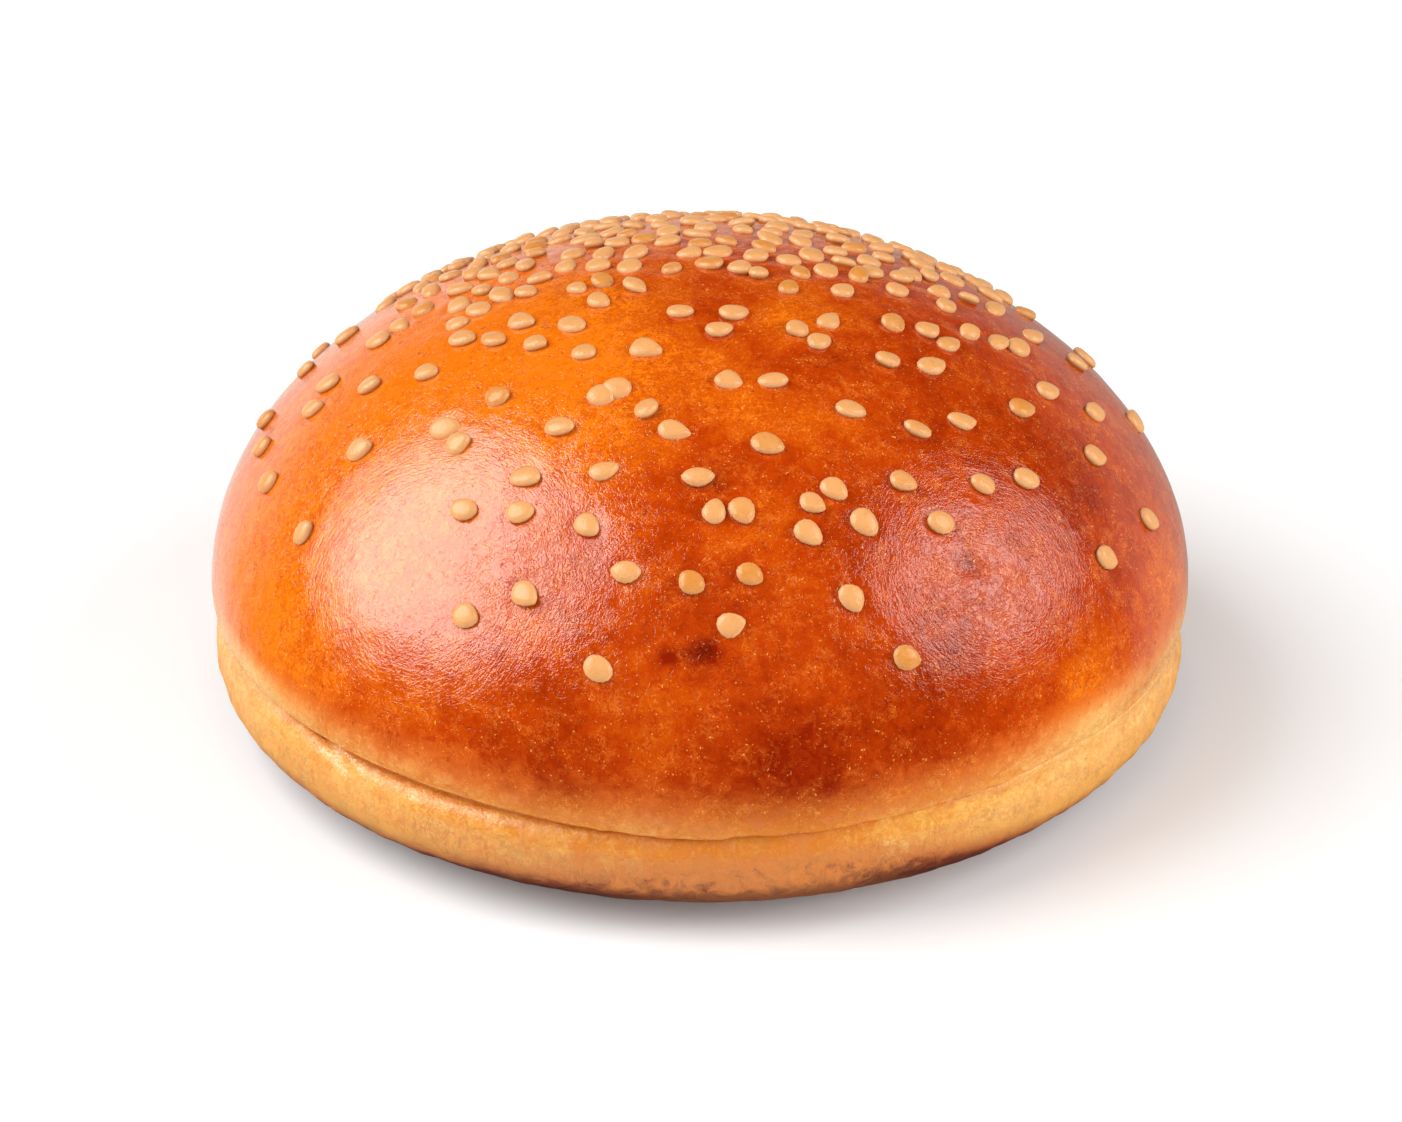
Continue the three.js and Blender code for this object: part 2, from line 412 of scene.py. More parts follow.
def crust_place(sizes, bearing, rise):
    """Point on the crown and its outward direction, for a bearing and a rise in degrees."""
    around = math.radians(bearing)
    upward = math.radians(rise)
    away = Vector((math.sin(around), -math.cos(around), 0))
    radius, height = crown_outline(sizes, upward)
    below = crown_outline(sizes, upward - 0.002)
    above = crown_outline(sizes, upward + 0.002)
    slope = Vector((above[0] - below[0], above[1] - below[1])).normalized()
    turned = (away.x * radius, away.y * radius, height)
    point = Vector(float(value) for value in settle(sizes, turned))
    outward = (away * slope.y - Vector((0, 0, slope.x))).normalized()
    return point, outward


def soft_noise(places, size, seed=0.0, octaves=1):
    """Perlin noise at each place, in features of about the given size."""
    shift = Vector((seed * 17.3, seed * 5.1, seed * 9.7))
    values = np.zeros(len(places))
    for octave in range(octaves):
        scale = 2**octave / size
        values += [noise.noise(Vector(place) * scale + shift) / 2**octave for place in places]
    return values


def near(distance, reach):
    """A smooth bump that is 1 at no distance and fades beyond the reach."""
    return np.exp(-((distance / reach) ** 2))


class Crust:
    """The vertices of the turned roll, with the bearing and climb of each along the surface."""

    def __init__(self, sizes, mesh):
        outline = np.array(roll_outline(sizes))
        lengths = np.concatenate([[0], np.cumsum(np.hypot(*np.diff(outline, axis=0).T))])
        crease = lengths[BASE_STEPS + SKIRT_STEPS + CREASE_STEPS]
        rising = outline[BASE_STEPS:]
        self.sizes = sizes
        self.places = np.array([vertex.co for vertex in mesh.verts])
        self.outward = np.array([vertex.normal for vertex in mesh.verts])
        x, y, z = self.places.T
        self.bearing = np.degrees(np.arctan2(x, -y))
        self.on_base = z < 1e-7
        climb = np.interp(z, rising[:, 1], lengths[BASE_STEPS:])
        self.climb = np.where(self.on_base, np.hypot(x, y), climb) - crease
        angle = np.radians(self.bearing)
        self.ring = np.stack([np.sin(angle), -np.cos(angle), np.zeros(len(z))], -1)

    def spread(self, bearing, width):
        """How close each vertex is to a bearing, both in degrees."""
        return near((self.bearing - bearing + 180) % 360 - 180, width)

    def stretches(self, table):
        """Sum of stretches round the roll, each with its bearing, half width and amount."""
        return sum(amount * self.spread(bearing, width) for bearing, width, amount in table)

    def shape(self):
        """Moves the vertices from the turned shape to the baked one."""
        push = self.lumps() + self.pinches()
        for bearing, rise, length, reach, depth in DENTS:
            push -= depth * self.hollow(bearing, rise, length, reach)
        places = np.stack(settle(self.sizes, self.places.T), -1)
        places -= self.ring * self.groove()[:, None]
        places[:, 2] += np.where(self.on_base, 0, self.wander())
        places += self.outward * np.where(self.on_base, 0, push)[:, None] * MM
        places[:, 2] = np.maximum(places[:, 2], 0)
        return places

    def groove(self):
        """How deep the crease is."""
        uneven = 0.35 * soft_noise(self.ring, 0.5, seed=1, octaves=2)
        depth = 0.14 + self.stretches(CREASE_DEPTHS) + uneven
        return near(self.climb, 1.2 * MM) * depth * MM

    def wander(self):
        """How far the crease wanders up and down, with a torn lip in front."""
        tear = soft_noise(self.ring, 0.035, seed=2, octaves=2) * (0.10 + 0.22 * self.spread(0, 16))
        ragged = tear * near(self.climb - 0.3 * MM, 1.0 * MM)
        drift = 0.22 * soft_noise(self.ring, 0.16, seed=3, octaves=2) * near(self.climb, 4 * MM)
        return (ragged + drift) * MM

    def lumps(self):
        """Lumps of the dough in mm: large and soft on the crown, small and creased on the skirt."""
        places = self.places
        z = places[:, 2]
        off_base = np.clip((z - 0.2 * MM) / (3 * MM), 0, 1)
        on_skirt = np.clip(-self.climb / (2 * MM), 0, 1) * off_base
        on_crown = np.clip(self.climb / (4 * MM), 0, 1)
        push = 0.30 * soft_noise(places, 30 * MM, seed=4) * np.clip(z / (6 * MM), 0, 1)
        push += 0.10 * soft_noise(places, 10 * MM, seed=5) * on_crown
        push += 0.035 * soft_noise(places, 3.5 * MM, seed=6) * on_crown
        push += 0.10 * soft_noise(places, 4 * MM, seed=7, octaves=2) * on_skirt
        upright = self.ring * self.sizes.skirt_radius + np.array([0, 0, 0.16]) * z[:, None]
        wrinkle = soft_noise(upright, 2.2 * MM, seed=8, octaves=2)
        return push + wrinkle * on_skirt * (0.07 + self.stretches(SKIRT_WRINKLES))

    def pinches(self):
        """Where the skirt bulges (+), is set in (-) or is folded, in mm."""
        climb = self.climb
        bulge = self.spread(-94, 20) * near(climb + 4.2 * MM, 3.2 * MM)
        tuck = self.spread(52, 30) * near(climb + 1.6 * MM, 1.0 * MM)
        shoulder = np.clip(1 + climb / (2.8 * MM), 0, 1) ** 2 * near(np.maximum(climb, 0), 1.2 * MM)
        slant = (self.bearing + 46) * 0.30 * MM
        fold = near(climb + 1.4 * MM + slant, 0.55 * MM)
        fold *= (self.bearing > -57) * (self.bearing < -44) * (climb < 0)
        return 0.35 * bulge - 0.15 * tuck - 0.55 * shoulder * self.spread(-42, 26) - 0.45 * fold

    def hollow(self, bearing, rise, length, reach):
        """A shallow dent along a short level line on the crown."""
        centre, _ = crust_place(self.sizes, bearing, rise)
        around = math.radians(bearing)
        level = np.array([math.cos(around), math.sin(around), 0])
        offset = self.places - np.array(centre)
        along = offset @ level
        beyond = np.maximum(np.abs(along) - length * MM / 2, 0)
        across = np.sqrt(np.maximum((offset**2).sum(-1) - along**2, 0))
        return near(np.hypot(beyond, across), reach * MM)


def new_object(name, mesh, smooth=True):
    """Turns a finished bmesh into an object of the scene."""
    data = bpy.data.meshes.new(name)
    mesh.to_mesh(data)
    mesh.free()
    if smooth:
        data.shade_smooth()
    item = bpy.data.objects.new(name, data)
    bpy.context.collection.objects.link(item)
    return item


def add_attribute(item, name, values):
    """Stores one number per vertex, for the piece's material to read."""
    attribute = item.data.attributes.new(name, "FLOAT", "POINT")
    attribute.data.foreach_set("value", np.asarray(values, dtype=np.float32))


def turned_roll(sizes):
    """The turned shape of the roll as a bmesh: its half outline spun round the Z axis."""
    mesh = bmesh.new()
    outline = [mesh.verts.new((radius, 0, height)) for radius, height in roll_outline(sizes)]
    edges = [mesh.edges.new(pair) for pair in zip(outline, outline[1:])]
    bmesh.ops.spin(
        mesh, geom=outline + edges, cent=(0, 0, 0), axis=(0, 0, 1), dvec=(0, 0, 0),
        angle=2 * math.pi, steps=sizes.sides, use_merge=True, use_duplicate=False,
    )
    bmesh.ops.remove_doubles(mesh, verts=mesh.verts[:], dist=1e-7)
    bmesh.ops.recalc_face_normals(mesh, faces=mesh.faces[:])
    mesh.normal_update()
    return mesh


# ---- seeds


def scatter_seeds(sizes, seeds, taken):
    """Strews seeds over the back and the very top of the crown, thicker towards the top."""
    draw = random.Random(11)
    points = [crust_place(sizes, bearing, rise)[0] for bearing, rise, _ in taken]
    found = []
    for _ in range(STREWING_TRIES):
        if len(found) == seeds.scattered:
            break
        bearing = draw.uniform(-180, 180)
        rise = math.degrees(math.acos(math.sqrt(draw.random())))
        turn = draw.uniform(-90, 90)
        chance = draw.random()
        on_shoulder = abs(bearing) > SHOULDER_BEARING and rise > SHOULDER_RISE
        at_back = abs(bearing) > BACK_BEARING or on_shoulder
        thick = 0.25 + 0.75 * min(1, max(0, (rise - 40) / 25))
        if not LOWEST_RISE <= rise <= HIGHEST_RISE or not at_back or chance > thick:
            continue
        point = crust_place(sizes, bearing, rise)[0]
        if min((point - other).length for other in points) < seeds.spacing:
            continue
        points.append(point)
        found.append((bearing, rise, turn))
    return tuple(found)


def all_seeds(sizes, seeds):
    """The flank seeds, then the crown seeds with the scattered ones after them."""
    crown = CROWN_SEEDS + scatter_seeds(sizes, seeds, FLANK_SEEDS + CROWN_SEEDS)
    return FLANK_SEEDS, crown


def add_seed(mesh, seeds, place, draw, layers, uneven):
    """Adds one lens-shaped seed, round, almond or drop-shaped, lying in the given place."""
    sphere = bmesh.ops.create_uvsphere(
        mesh, u_segments=SEED_SEGMENTS, v_segments=SEED_RINGS, radius=1,
    )
    long = seeds.length / 2 * (1 + uneven * draw.uniform(-0.09, 0.08))
    wide = seeds.width / 2 * (1 + uneven * draw.uniform(-0.09, 0.05))
    taper = seeds.taper * draw.uniform(0.0, 1.6)
    pointed = draw.uniform(0.95, 1.35)
    bow = draw.uniform(-0.07, 0.07)
    lump = draw.uniform(0, 0.05) * uneven
    lump_turn = draw.uniform(0, 2 * math.pi)
    slope = draw.uniform(-0.15, 0.15)
    tone = draw.random()
    for vertex in sphere["verts"]:
        ring = round(math.acos(max(-1, min(1, vertex.co.z))) / (math.pi / SEED_RINGS))
        out, up, rim = SEED_SECTION[ring]
        angle = math.atan2(vertex.co.y, vertex.co.x)
        reach = out * (1 + lump * math.sin(3 * angle + lump_turn))
        x = math.cos(angle)
        side = math.copysign(abs(math.sin(angle)) ** pointed, math.sin(angle))
        y = side * (1 - taper * x) + bow * x * x
        vertex[layers["tone"]] = tone
        vertex[layers["top"]] = up
        vertex[layers["rim"]] = rim
        height = (up + slope * out * x * (up > 0)) * seeds.thickness / 2
        vertex.co = place @ Vector((reach * x * long, reach * y * wide, height))


def seed_place(sizes, seeds, crust_tree, spot, draw, uneven):
    """Where a seed lies: on the finished crust, flat against it, with its length turned."""
    bearing, rise, turn = spot
    point, outward = crust_place(sizes, bearing, rise)
    clear = 4 * MM
    hit, _, _, _ = crust_tree.ray_cast(point + outward * clear, -outward, 2 * clear)
    around = math.radians(bearing)
    level = Vector((math.cos(around), math.sin(around), 0))
    uphill = outward.cross(level)
    basis = Matrix((level, uphill, outward)).transposed().to_4x4()
    usual_tilt = 3.5 * uneven
    tilt = Matrix.Rotation(math.radians(draw.gauss(0, usual_tilt)), 4, "X")
    tilt @= Matrix.Rotation(math.radians(draw.gauss(0, usual_tilt)), 4, "Y")
    height = outward * (seeds.thickness / 2 - seeds.sink - (uneven - 1) * draw.uniform(0, 0.3) * MM)
    turned = Matrix.Rotation(math.radians(turn), 4, "Z")
    return Matrix.Translation(hit + height) @ basis @ tilt @ turned


def seed_piece(name, spots, random_seed, uneven=1.0):
    """One piece holding the given seeds, each a closed shape of its own."""
    settings = bpy.context.scene
    crust = bpy.data.objects["glazed_roll"]
    tree = BVHTree.FromObject(crust, bpy.context.evaluated_depsgraph_get())
    draw = random.Random(random_seed)
    mesh = bmesh.new()
    layers = {key: mesh.verts.layers.float.new(key) for key in ("tone", "top", "rim")}
    for spot in spots:
        place = seed_place(settings.roll_sizes, settings.seed_sizes, tree, spot, draw, uneven)
        add_seed(mesh, settings.seed_sizes, place, draw, layers, uneven)
    bmesh.ops.recalc_face_normals(mesh, faces=mesh.faces[:])
    return new_object(name, mesh)


# ---- materials


class Wire:
    """A node's output that can be used in plain arithmetic, which adds Math nodes."""

    def __init__(self, board, socket):
        self.board = board
        self.socket = socket

    def math(self, operation, *values):
        return self.board.node("ShaderNodeMath", {"operation": operation}, dict(enumerate(values)))

    def __add__(self, other):
        return self.math("ADD", self, other)

    def __sub__(self, other):
        return self.math("SUBTRACT", self, other)

    def __rsub__(self, other):
        return self.math("SUBTRACT", other, self)

    def __mul__(self, other):
        return self.math("MULTIPLY", self, other)

    def __truediv__(self, other):
        return self.math("DIVIDE", self, other)

    __radd__ = __add__
    __rmul__ = __mul__

    def apart(self, other):
        """How far the value is from another."""
        return self.math("ABSOLUTE", self - other)

    def held(self):
        """The value kept between 0 and 1."""
        return self.board.node("ShaderNodeClamp", {}, {"Value": self})

    def ramped(self, low, high):
        """0 below low, 1 above high, smooth between them."""
        settings = {"interpolation_type": "SMOOTHSTEP"}
        return self.board.node("ShaderNodeMapRange", settings, {"Value": self, 1: low, 2: high})


class Board:
    """A node tree under construction."""

    def __init__(self, tree):
        self.tree = tree

    def socket(self, sockets, key):
        if isinstance(key, int):
            return sockets[key]
        return next(socket for socket in sockets if socket.name == key and socket.enabled)

    def feed(self, socket, value):
        if isinstance(value, Wire):
            self.tree.links.new(value.socket, socket)
        elif socket.type == "RGBA" and len(value) == 3:
            socket.default_value = (*value, 1)
        else:
            socket.default_value = value

    def node(self, kind, settings, inputs, output=None):
        """Adds a node, sets it up, fills or links its inputs and gives back one output."""
        made = self.tree.nodes.new(kind)
        for key, value in settings.items():
            if key == "stops":
                self.set_stops(made.color_ramp, value)
            else:
                setattr(made, key, value)
        for key, value in inputs.items():
            self.feed(self.socket(made.inputs, key), value)
        if output is None:
            output = next(socket.name for socket in made.outputs if socket.enabled)
        return Wire(self, self.socket(made.outputs, output))

    def set_stops(self, ramp, stops):
        while len(ramp.elements) < len(stops):
            ramp.elements.new(1)
        for element, (position, colour) in zip(ramp.elements, stops):
            element.position = position
            element.color = (*colour, 1)

    def mix(self, factor, first, second):
        """The first colour at 0 and the second at 1."""
        settings = {"data_type": "RGBA", "clamp_factor": True}
        return self.node("ShaderNodeMix", settings, {"Factor": factor, "A": first, "B": second})


class Finish(Board):
    """A material under construction."""

    def __init__(self, name):
        self.material = bpy.data.materials.new(name)
        self.material.use_nodes = True
        super().__init__(self.material.node_tree)
        self.shader = self.tree.nodes["Principled BSDF"]

    def set(self, **values):
        """Fills or links the shader's sockets, named with underscores for spaces."""
        for key, value in values.items():
            self.feed(self.shader.inputs[key.replace("_", " ")], value)

    def millimetres(self):
        """Object coordinates in millimetres."""
        place = self.node("ShaderNodeTexCoord", {}, {}, "Object")
        return self.vector("SCALE", {0: place, "Scale": 1 / MM})

    def stretched(self, place, scale):
        """The place with each axis scaled by its own factor."""
        return self.node("ShaderNodeMapping", {}, {"Vector": place, "Scale": scale})

    def vector(self, operation, inputs):
        """A sum, difference, length or the like of vectors."""
        return self.node("ShaderNodeVectorMath", {"operation": operation}, inputs)

    def noise(self, place, size, detail=3, roughness=0.55, distortion=0):
        """Soft noise from 0 to 1 in features of about the given size."""
        inputs = {"Vector": place, "Scale": 1 / size, "Detail": detail, "Roughness": roughness}
        inputs["Distortion"] = distortion
        return self.node("ShaderNodeTexNoise", {}, inputs)

    def attribute(self, name):
        return self.node("ShaderNodeAttribute", {"attribute_name": name}, {}, "Fac")

    def bump(self, height):
        """Relief from a height in millimetres."""
        return self.node("ShaderNodeBump", {}, {"Height": height, "Distance": MM, "Strength": 1.0})


def ramp_position(climb):
    """Where a climb in millimetres above the crease lies on the crust's colour ramp."""
    return (climb - RAMP_LOW) / RAMP_LENGTH


def swirl(finish, place, centre, radius):
    """Fine arcs of relief in a ring round a point, all in millimetres."""
    arc_length = 1.6
    arc_width = 0.38
    offset = finish.vector("SUBTRACT", {0: place, 1: centre})
    reach = finish.vector("LENGTH", {0: offset})
    way = finish.vector("NORMALIZE", {0: offset})
    along = finish.vector("SCALE", {0: way, "Scale": radius / arc_length})
    across = finish.node("ShaderNodeCombineXYZ", {}, {"Z": reach / arc_width})
    spot = finish.vector("ADD", {0: along, 1: across})
    ring = reach.ramped(0.5 * radius, 0.85 * radius) - reach.ramped(1.05 * radius, 1.4 * radius)
    return (finish.noise(spot, 1, 2, 0.6, 1.0) - 0.5) * ring


def crust_stops(colours):
    """Colours of the crust by climb in millimetres, from the underside up to the glazed crown, with
    painted shade along the crease and a lower edge darkened partly by painted shade.
    """
    skirt = Vector(colours.skirt)
    crown = Vector(colours.crown)
    lip = Vector(colours.lip)
    golden = Vector(colours.golden)
    edge = Vector(colours.edge)
    base = Vector(colours.base)
    stops = (
        (-20, base),
        (-14, base * 1.1),
        # Towards the lower edge the skirt darkens, partly by browning and partly by painted shade.
        (-10, edge * 0.32),
        (-7.8, edge * 0.5),
        (-6.4, skirt * 0.35 + edge * 0.65),
        (-4.6, skirt * 0.92),
        (-1.0, skirt),
        # Painted shade: a darker line along the crease, mixed from the lip and edge colours.
        (-0.3, lip * 0.55 + edge * 0.45),
        (0.5, lip),
        (2.2, lip * 0.48 + golden * 0.25 + crown * 0.3),
        (4.5, lip * 0.16 + golden * 0.2 + crown * 0.68),
        (8, crown),
    )
    return [(ramp_position(climb), tuple(colour)) for climb, colour in stops]


class CrustFinish(Finish):
    """Glazed crown, pale skirt and browned underside in one material."""

    def __init__(self, colours, sizes):
        super().__init__("glazed_crust")
        self.place = self.millimetres()
        self.climb = self.attribute("climb")
        self.browning = self.attribute("browning")
        self.rugged = self.attribute("rugged")
        self.scorch = self.attribute("scorch")
        self.drift = self.noise(self.place, 4, 3, 0.6)
        self.cloud = self.noise(self.place, 1.4, 4, 0.7, 0.8)
        self.speck = self.noise(self.place, 0.5, 3, 0.7, 1.2)
        self.patchy = self.noise(self.place, 2.4, 3, 0.6, 0.5)
        thread = self.noise(self.place, 1.3, 5, 0.72, 1.2)
        strands = 1 - thread.apart(0.5).ramped(0.006, 0.034)
        self.fibre = strands * (0.2 + 0.8 * self.patchy.ramped(0.44, 0.58))
        self.glazed = self.climb.ramped(1.0, 7.0)
        self.unglazed = 1 - self.glazed
        pores = self.noise(self.place, 0.7, 2, 0.6, 0.5)
        self.pits = (1 - pores.ramped(0.29, 0.36)) * self.glazed
        contour = self.noise(self.place, 0.9, 2, 0.5, 1.6)
        self.veins = 1 - contour.apart(0.5).ramped(0.0, 0.10)
        self.wet = self.climb.ramped(-3.8, -1.8) * self.unglazed
        self.wet = self.wet * (0.4 + 0.6 * self.patchy.ramped(0.4, 0.55))
        rough = 0.50 - 0.43 * self.glazed - 0.40 * self.wet + (self.cloud - 0.5) * 0.05
        self.set(
            Base_Color=self.colour(colours), Roughness=rough.held(),
            Normal=self.bump(self.relief(sizes)), IOR=1.8,
        )

    def tone(self, colours):
        """The crust's colour by climb, with a wandering edge between its zones."""
        climb = self.climb
        wander = (self.drift - 0.5) * 5.0 * climb.ramped(1.0, 8.0)
        fray = (self.cloud - 0.5) * (0.8 + 1.4 * climb.ramped(-5, -2))
        side = 2 * climb.ramped(-1, 1) - 1
        browned_lip = self.browning * 2.2 * (1 - climb.ramped(3, 11)) * side
        # The dark lower edge, partly browning and partly painted shade, reaches higher in some
        # stretches.
        scorched_and_shaded = self.scorch * (1 - climb.ramped(-6.0, -2.5))
        position = (climb + wander + fray + browned_lip - scorched_and_shaded - RAMP_LOW) / RAMP_LENGTH
        stops = {"stops": crust_stops(colours)}
        return self.node("ShaderNodeValToRGB", stops, {"Fac": position}, "Color")

    def colour(self, colours):
        """The tone with browned and golden patches, pale flecks that are partly painted glints,
        bright dots of painted glint, pits darkened with painted shade, and veins.
        """
        climb = self.climb
        browned = tuple(colours.browned)
        shade = self.browning + (self.drift - 0.5) * 1.4 + (self.cloud - 0.5) * 1.7
        toast = (shade + (self.cloud - 0.5) * 2.0) * self.unglazed * climb.ramped(-9, -4)
        colour = self.mix(toast.held(), self.tone(colours), tuple(colours.toasted_skirt))
        pale = shade * (self.glazed - 1) * climb.ramped(-6, -2)
        colour = self.mix(pale.held(), colour, tuple(colours.pale_skirt))
        colour = self.mix((shade * self.glazed).held(), colour, browned)
        speckle = (self.speck + self.cloud - 1.0).ramped(-0.08, 0.16)
        glowing = shade * climb.ramped(3, 10) * (-0.45 - 1.3 * speckle)
        colour = self.mix(glowing.held(), colour, tuple(colours.golden))

        # Pale flecks, partly the crust's own and partly painted glints.
        flecks_and_glints = self.fibre * 0.85
        flecks_and_glints = flecks_and_glints + (self.speck + (self.patchy - 0.5) * 0.9).ramped(0.58, 0.70) * 0.8
        flecks_and_glints = flecks_and_glints * (1 - 0.6 * shade.held()) * climb.ramped(-7, -3)
        fleck_and_glint_colour = self.mix(self.glazed, tuple(colours.pale_skirt), tuple(colours.fleck_and_glint))
        colour = self.mix((flecks_and_glints * (0.48 - 0.14 * self.glazed)).held(), colour, fleck_and_glint_colour)
        # Painted glints: sparse bright dots.
        painted_glints = self.noise(self.place, 0.3, 1, 0.5).ramped(0.69, 0.75)
        painted_glints = painted_glints * (0.35 + 0.65 * self.patchy.ramped(0.4, 0.55))
        colour = self.mix(painted_glints * 0.6 * climb.ramped(-6, -2), colour, tuple(colours.glint_dots))

        # Painted shade: the pits are darkened towards the browned colour.
        colour = self.mix(self.pits * 0.45, colour, browned)
        darkest = tuple(Vector(browned) * 0.3)
        colour = self.mix(self.browning.ramped(0.9, 2.8) * 0.5, colour, darkest)
        skirt_veins = self.veins * self.unglazed * 0.5 * climb.ramped(-7, -4)
        return self.mix(skirt_veins, colour, tuple(colours.toasted_skirt))

    def relief(self, sizes):
        """Height of the crust's fine relief in millimetres: crinkled glaze and wrinkled skirt."""
        rugged = self.rugged
        crinkle = self.noise(self.place, 0.5, 1, 0.5, 1.4)
        grain = self.noise(self.place, 0.45, 1, 0.5, 0.4).ramped(0.66, 0.74)
        swell = self.noise(self.place, 3.2, 1, 0.5)
        ripples = self.noise(self.stretched(self.place, (1, 1, 0.35)), 1.0, 3, 0.6)
        relief = (crinkle - 0.5) * (0.012 + 0.042 * swell + 0.02 * rugged) + (swell - 0.5) * 0.10
        relief = relief + (self.cloud - 0.5) * 0.11 * rugged
        relief = relief - self.pits * (0.016 + 0.014 * rugged) + grain * 0.014
        relief = relief - self.veins * self.patchy.ramped(0.3, 0.6) * (0.005 + 0.026 * rugged)
        for bearing, rise, radius in SWIRLS:
            centre, _ = crust_place(sizes, bearing, rise)
            relief = relief + swirl(self, self.place, centre / MM, radius) * 0.055
        wrinkled = (ripples - 0.5) * 0.26 + (self.cloud - 0.5) * 0.22
        wrinkled = wrinkled + (self.speck - 0.5) * 0.06 + self.fibre * 0.03
        return relief + wrinkled * self.unglazed * (1 - 0.6 * self.wet)


def seed_finish(colours):
    """Satin sesame hull with a pale rim that is partly painted highlight, and painted shade on its
    lower sides where it meets the glaze.
    """
    finish = Finish("sesame_hull")
    place = finish.millimetres()
    tone = finish.attribute("tone")
    top = finish.attribute("top")
    rim = finish.attribute("rim")
    cloud = finish.noise(place, 0.9, 3, 0.6)
    grain = finish.noise(place, 0.3, 3, 0.6)
    toasted = (tone.ramped(0.7, 1.0) * 0.9 + (cloud - 0.5) * 1.3 + (grain - 0.5) * 0.5).held()
    colour = finish.mix(toasted, tuple(colours.seed), tuple(colours.toasted))
    # Painted shade: the seed's lower sides are darkened towards a dark toasted colour.
    shaded_wall = (0.45 - top).ramped(0.0, 0.75)
    colour = finish.mix(shaded_wall * 0.85, colour, tuple(Vector(colours.toasted) * 0.6))
    # The pale rim is partly the hull's own pale edge and partly a painted highlight.
    colour = finish.mix(rim.ramped(0.2, 1.0) * 0.25, colour, tuple(colours.seed_rim_and_highlight))
    relief = (cloud - 0.5) * 0.07 + (grain - 0.5) * 0.03
    rough = 0.23 + (grain - 0.5) * 0.2
    finish.set(Base_Color=colour, Roughness=rough.held(), Normal=finish.bump(relief), IOR=1.5)
    return finish.material


def floor_finish():
    """Plain pale floor with a trace of unevenness."""
    finish = Finish("pale_floor")
    place = finish.millimetres()
    cloud = finish.noise(place, 60, 2, 0.5)
    colour = finish.mix(cloud, *FLOOR_TONES)
    finish.set(Base_Color=colour, Roughness=0.9, Emission_Color=WHITE, Emission_Strength=0.08)
    return finish.material


# ---- operators


class ROLL_OT_baked_roll(bpy.types.Operator):
    """Make the glazed roll: crown, crease, skirt and underside in one closed skin"""

    bl_idname = "roll.baked_roll"
    bl_label = "Baked roll"

    def execute(self, context):
        sizes = context.scene.roll_sizes
        mesh = turned_roll(sizes)
        crust = Crust(sizes, mesh)
        places = self.sink_seeds(context, crust, crust.shape())
        for vertex, place in zip(mesh.verts, places):
            vertex.co = place
        roll = new_object("glazed_roll", mesh)
        add_attribute(roll, "climb", crust.climb / MM)
        add_attribute(roll, "browning", self.browning(crust, places))
        add_attribute(roll, "scorch", crust.stretches(EDGE_TONES))
        add_attribute(roll, "rugged", sum(crust.hollow(*spot) for spot in RUGGED))
        roll.data.materials.append(CrustFinish(context.scene.roll_colours, sizes).material)
        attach(roll, "root")
        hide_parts("baked_roll")
        return {"FINISHED"}

    def sink_seeds(self, context, crust, places):
        """Presses a soft dimple under each seed, with a low rim of glaze round it."""
        dimple, dimple_reach = 0.08 * MM, 2.0 * MM
        rim, rim_distance, rim_reach = 0.035 * MM, 2.3 * MM, 0.7 * MM
        tree = kdtree.KDTree(len(places))
        for index, place in enumerate(places):
            tree.insert(place, index)
        tree.balance()
        push = np.zeros(len(places))
        flank, crown = all_seeds(crust.sizes, context.scene.seed_sizes)
        for bearing, rise, _ in flank + crown:
            centre, _ = crust_place(crust.sizes, bearing, rise)
            for _, index, distance in tree.find_range(centre, 5 * MM):
                push[index] -= dimple * near(distance, dimple_reach)
                push[index] += rim * near(distance - rim_distance, rim_reach)
        return places + crust.outward * push[:, None]

    def browning(self, crust, places):
        """How much browner (+) or more golden (-) each vertex is than the crust round it."""
        total = crust.stretches(SKIRT_TONES) * (crust.climb < 0)
        for bearing, rise, reach, strength in PATCHES:
            centre, _ = crust_place(crust.sizes, bearing, rise)
            distance = np.linalg.norm(places - np.array(centre), axis=1)
            total += strength * near(distance, reach * MM) * (crust.climb > 0)
        return total


class ROLL_OT_flank_seeds(bpy.types.Operator):
    """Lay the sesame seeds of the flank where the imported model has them"""

    bl_idname = "roll.flank_seeds"
    bl_label = "Flank seeds"

    def execute(self, context):
        settings = context.scene
        flank, _ = all_seeds(settings.roll_sizes, settings.seed_sizes)
        piece = seed_piece("flank_seeds", flank, random_seed=3)
        piece.data.materials.append(seed_finish(settings.roll_colours))
        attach(piece, "root")
        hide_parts(*[f"sesame_seed_{number:02d}" for number in range(1, len(flank) + 1)])
        return {"FINISHED"}


class ROLL_OT_crown_seeds(bpy.types.Operator):
    """Lay the dense cap of sesame seeds on the crown"""

    bl_idname = "roll.crown_seeds"
    bl_label = "Crown seeds"

    def execute(self, context):
        settings = context.scene
        _, crown = all_seeds(settings.roll_sizes, settings.seed_sizes)
        piece = seed_piece("crown_seeds", crown, random_seed=5, uneven=1.8)
        piece.data.materials.append(bpy.data.materials["sesame_hull"])
        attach(piece, "root")
        return {"FINISHED"}


